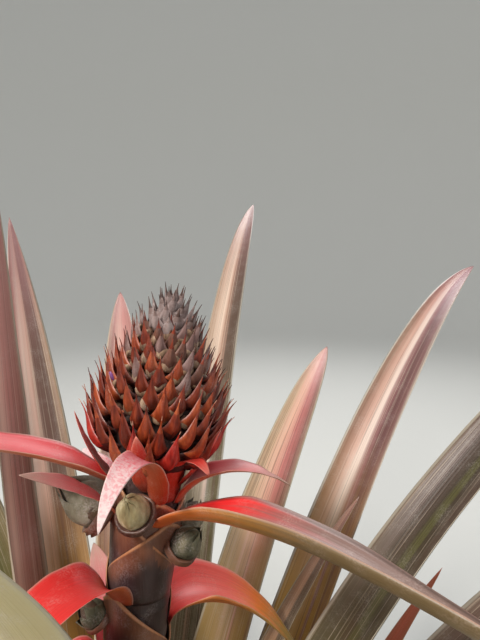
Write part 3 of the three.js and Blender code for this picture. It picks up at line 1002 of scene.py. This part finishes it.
def add_scale(body, turn, radius, height, length, width, pitches, shades, keel=0.35):
    """One keeled, pointed scale that leaves its foot outwards and curves up, closed all round."""
    points, faces, slots = body
    sheets, edge = shell_faces(len(points), SCALE_ROWS, SCALE_COLUMNS)
    faces += sheets + edge
    for row in range(SCALE_ROWS):
        shade = shades[int(row / SCALE_ROWS * len(shades))]
        slots += [shade] * (2 * (SCALE_COLUMNS - 1))
    slots += [shades[len(shades) // 2]] * len(edge)
    angle = math.radians(turn)
    out = Vector((math.cos(angle), math.sin(angle), 0))
    side = Vector((-math.sin(angle), math.cos(angle), 0))
    line = scale_line(length, pitches)
    for layer in range(2):
        for along, reach, up, pitch in line:
            from_axis = radius - SCALE_ROOT * (1 - along) ** 4 + reach
            place = out * from_axis + Vector((0, 0, height + up))
            half = scale_half_width(along, width)
            normal = out * math.cos(pitch) - Vector((0, 0, math.sin(pitch)))
            thick = 1 - 0.8 * along
            for across in places_across(SCALE_COLUMNS):
                fold = keel * half * (1 - abs(across)) - 0.4 * half * across * across
                lift = thick * (1 - across * across) if layer else 0.0
                points.append(place + side * (half * across) + normal * (fold + lift))


# Name, three mixed colours, scale of the mixing, bloom and roughness of each skin of the head.
HEAD_SKINS = [
    # The first skin is near-black: painted shade at the foot of every floral bract, where the bracts
    # overlap, and the own dark colour of some tips.
    ("floral_foot_shade_and_dark_tip", [(40, 16, 14), (66, 24, 18), (88, 36, 24)], 150.0, 0.05, 0.5),
    ("floral_rust", [(82, 26, 16), (124, 44, 22), (158, 66, 34)], 260.0, 0.12, 0.4),
    ("floral_orange", [(112, 40, 22), (158, 66, 32), (192, 98, 54)], 260.0, 0.2, 0.4),
    ("floral_tip", [(150, 92, 70), (186, 128, 104), (214, 164, 140)], 150.0, 0.2, 0.5),
    ("floral_brown", [(78, 46, 38), (108, 66, 52), (140, 92, 74)], 150.0, 0.3, 0.5),
    ("fruitlet", [(84, 58, 44), (150, 118, 92), (206, 176, 146)], 240.0, 0.3, 0.6),
    ("petal", [(92, 44, 100), (120, 62, 132), (150, 96, 160)], 160.0, 0.1, 0.45),
    # The head's core skin is near-black: painted shade in the gaps between the floral bracts.
    ("head_core_painted_shade", [(34, 18, 16), (50, 28, 22), (66, 40, 32)], 120.0, 0.1, 0.7),
    ("floral_mauve", [(96, 66, 62), (128, 96, 90), (160, 130, 124)], 150.0, 0.4, 0.6),
    ("floral_red", [(130, 28, 22), (168, 42, 32), (196, 66, 48)], 260.0, 0.12, 0.4),
]
FOOT_SHADE_AND_DARK_TIP, RUST, ORANGE, TIP, BROWN, FRUITLET, PETAL, CORE, MAUVE, REDDISH = range(len(HEAD_SKINS))
head_skins = [tissue_material(*skin) for skin in HEAD_SKINS]


def floral_shades(share):
    """Colours of a floral bract from foot to tip, each starting near-black as painted shade where the bracts
    overlap and some ending in dark tips: rust below, browner and mauver upwards.
    """
    tone = spray.random()
    if spray.random() < smooth((share - MAUVE_FROM) / MAUVE_OVER):
        if tone < 0.5:
            return (FOOT_SHADE_AND_DARK_TIP, BROWN, *[MAUVE] * 4, BROWN, FOOT_SHADE_AND_DARK_TIP)
        return (FOOT_SHADE_AND_DARK_TIP, *[BROWN] * 4, RUST, RUST, FOOT_SHADE_AND_DARK_TIP)
    if share < RED_UP_TO and tone < RED_CHANCE:
        return (FOOT_SHADE_AND_DARK_TIP, *[REDDISH] * 6, TIP)
    if tone < 0.35:
        return (FOOT_SHADE_AND_DARK_TIP, FOOT_SHADE_AND_DARK_TIP, *[RUST] * 3, ORANGE, ORANGE, TIP)
    if tone < 0.7:
        return (FOOT_SHADE_AND_DARK_TIP, *[RUST] * 6, FOOT_SHADE_AND_DARK_TIP)
    return (FOOT_SHADE_AND_DARK_TIP, *[ORANGE] * 5, RUST, FOOT_SHADE_AND_DARK_TIP)


def head_piece():
    """The floral bracts in a spiral, long and leaning at the foot of the head, on a near-black core that is
    painted shade in the gaps between them.
    """
    wall = [(head_radius(share) - CORE_INSET, share * HEAD_HEIGHT) for share in shares(HEAD_ROWS)]
    points, faces = turned([(AXIS_RADIUS, 0), *wall, (AXIS_RADIUS, HEAD_HEIGHT)], 40)
    slots = [CORE] * len(faces)
    for place in range(HEAD_SCALES):
        share = head_share(place)
        add_scale(
            (points, faces, slots),
            turn=place * GOLDEN_TURN + spray.uniform(-3, 3),
            radius=head_radius(share) - 1,
            height=share * HEAD_HEIGHT,
            length=mix(41, 19, share) * spray.uniform(0.9, 1.08),
            width=mix(18, 15, share) * spray.uniform(0.92, 1.08),
            pitches=(mix(62, 32, share), mix(15, 4, share), spray.uniform(18, 46) * mix(1.1, 0.45, share)),
            shades=floral_shades(share),
        )
    placed = [head_matrix @ point for point in points]
    make_piece("head_bracts", placed, faces, head_skins, ["flower_head"], slots=slots)


def add_bead(body, place, out, radius, shade, squash):
    """A small rounded bead: a fruitlet or a petal tip."""
    points, faces, slots = body
    side = Vector((0, 0, 1)).cross(out).normalized()
    up = out.cross(side)
    first = len(points)
    rows, sides = 6, 10
    for row in range(1, rows):
        pitch = math.pi * row / rows
        for around in turns(sides):
            offset = out * math.cos(pitch) * squash
            offset = offset + (side * math.cos(around) + up * math.sin(around)) * math.sin(pitch)
            points.append(place + offset * radius)
    points.append(place + out * radius * squash)
    points.append(place - out * radius * squash)
    top, low = len(points) - 2, len(points) - 1
    wall = wall_faces(rows - 1, sides)
    faces += [tuple(first + corner for corner in face) for face in wall]
    last = first + (rows - 2) * sides
    for k in range(sides):
        faces.append((top, first + (k + 1) % sides, first + k))
        faces.append((low, last + k, last + (k + 1) % sides))
    slots += [shade] * (len(wall) + 2 * sides)


def fruitlets_piece():
    """Fruitlets behind the floral bracts from a third of the head up, a few with petals."""
    points, faces, slots = [], [], []
    body = (points, faces, slots)
    for spot in range(HEAD_SCALES):
        share = head_share(spot)
        if share < FRUITLETS_FROM:
            continue
        angle = math.radians(spot * GOLDEN_TURN + spray.uniform(-3, 3))
        out = Vector((math.cos(angle), math.sin(angle), 0.25)).normalized()
        size = mix(5.6, 4.2, share) * smooth((share - 0.2) / 0.25)
        place = Vector((math.cos(angle), math.sin(angle), 0)) * (head_radius(share) + 0.5)
        place.z = share * HEAD_HEIGHT + 4.5
        add_bead(body, place, out, size, FRUITLET, squash=0.8)
        if PETALS_FROM < share < PETALS_UP_TO and spray.random() < PETAL_CHANCE:
            place = place + out * 3.5 + Vector((0, 0, 2))
            upwards = Vector((out.x, out.y, 1.2)).normalized()
            add_bead(body, place, upwards, 2.0, PETAL, squash=2.2)
    placed = [head_matrix @ point for point in points]
    make_piece("fruitlets", placed, faces, head_skins, slots=slots)


CROWN_LEAVES = 32
CROWN_CORE = [(AXIS_RADIUS, 0), (12.5, 0), (13.2, 4), (12.6, 8), (10, 13), (6, 17), (1, 18)]
CROWN_SKINS = [
    ("crown_low", [(98, 76, 70), (130, 106, 100), (164, 142, 138)], 150.0, 0.6, 0.7),
    ("crown_mid", [(120, 98, 94), (152, 130, 126), (184, 166, 162)], 150.0, 0.7, 0.7),
    ("crown_tip", [(52, 32, 28), (76, 50, 42), (104, 72, 62)], 150.0, 0.15, 0.6),
]
LOW, MID, END = range(len(CROWN_SKINS))
CROWN_SHADES = [(LOW, LOW, MID, MID, LOW, END), (LOW, MID, MID, LOW, END, END)]


def crown_piece():
    """The tuft of small leaves on the head, opened out at its foot and upright in the middle."""
    points, faces = turned(CROWN_CORE, 28)
    slots = [LOW] * len(faces)
    for place in range(CROWN_LEAVES):
        share = place / (CROWN_LEAVES - 1)
        add_scale(
            (points, faces, slots),
            turn=place * GOLDEN_TURN,
            radius=mix(12.8, 2.0, share),
            height=mix(-4.0, 12.0, share),
            length=mix(22, 20, share) * spray.uniform(0.9, 1.06),
            width=mix(21, 18, share),
            pitches=(mix(56, 16, share), mix(12, 6, share), mix(26, 12, share) + spray.uniform(-6, 8)),
            shades=CROWN_SHADES[0 if spray.random() < 0.6 else 1],
            keel=0.2,
        )
    placed = [crown_matrix @ point for point in points]
    skins = [tissue_material(*skin) for skin in CROWN_SKINS]
    make_piece("crown_tuft", placed, faces, skins, ["crown"], slots=slots)


head_piece()
fruitlets_piece()
crown_piece()

# Studio, in metres

BOWL_RADIUS = 4.0
BOWL_BEND = 3.0
BOWL_BEND_STEPS = 12
BOWL_TOP = 6.0
BOWL_PAINT = rgb(226, 226, 222)
LIGHT_TARGET = Vector((0, 0, 0.5))
SKY = (0.95, 0.97, 1.0, 1.0)
SKY_STRENGTH = 0.46


def studio_bowl(sides=96):
    """A pale floor that rises into a wall on every side."""
    profile = [(0.01, 0.0), (BOWL_RADIUS, 0.0)]
    for step in range(1, BOWL_BEND_STEPS + 1):
        angle = math.pi / 2 * step / BOWL_BEND_STEPS
        out = BOWL_RADIUS + BOWL_BEND * math.sin(angle)
        profile.append((out, BOWL_BEND - BOWL_BEND * math.cos(angle)))
    profile.append((BOWL_RADIUS + BOWL_BEND, BOWL_TOP))
    points = []
    for radius, height in profile:
        for around in turns(sides):
            points.append((radius * math.cos(around), radius * math.sin(around), height))
    mesh = bpy.data.meshes.new("floor")
    mesh.from_pydata(points, [], [*wall_faces(len(profile), sides), tuple(range(sides))])
    mesh.polygons.foreach_set("use_smooth", [True] * len(mesh.polygons))
    material, _, shader = new_material("floor_paint")
    shader.inputs["Base Color"].default_value = BOWL_PAINT
    shader.inputs["Roughness"].default_value = 0.9
    mesh.materials.append(material)
    add_object("floor", mesh)


def area_light(name, place, size, power, tint):
    """A round lamp that points at the plant."""
    light = bpy.data.lights.new(name, "AREA")
    light.shape = "DISK"
    light.size = size
    light.energy = power
    light.color = tint
    lamp = add_object(name, light)
    lamp.location = place
    aim = LIGHT_TARGET - Vector(place)
    lamp.rotation_euler = aim.to_track_quat("-Z", "Y").to_euler()


studio_bowl()
area_light("key", (-1.3, -1.6, 2.6), size=0.7, power=78, tint=(1.0, 0.96, 0.9))
area_light("fill", (2.2, -1.4, 1.6), size=1.8, power=14, tint=(0.94, 0.97, 1.0))
area_light("back", (0.6, 2.4, 2.4), size=1.4, power=26, tint=(1.0, 1.0, 1.0))

world = bpy.data.worlds.new("studio")
bpy.context.scene.world = world
world.use_nodes = True
sky = world.node_tree.nodes["Background"]
sky.inputs["Color"].default_value = SKY
sky.inputs["Strength"].default_value = SKY_STRENGTH
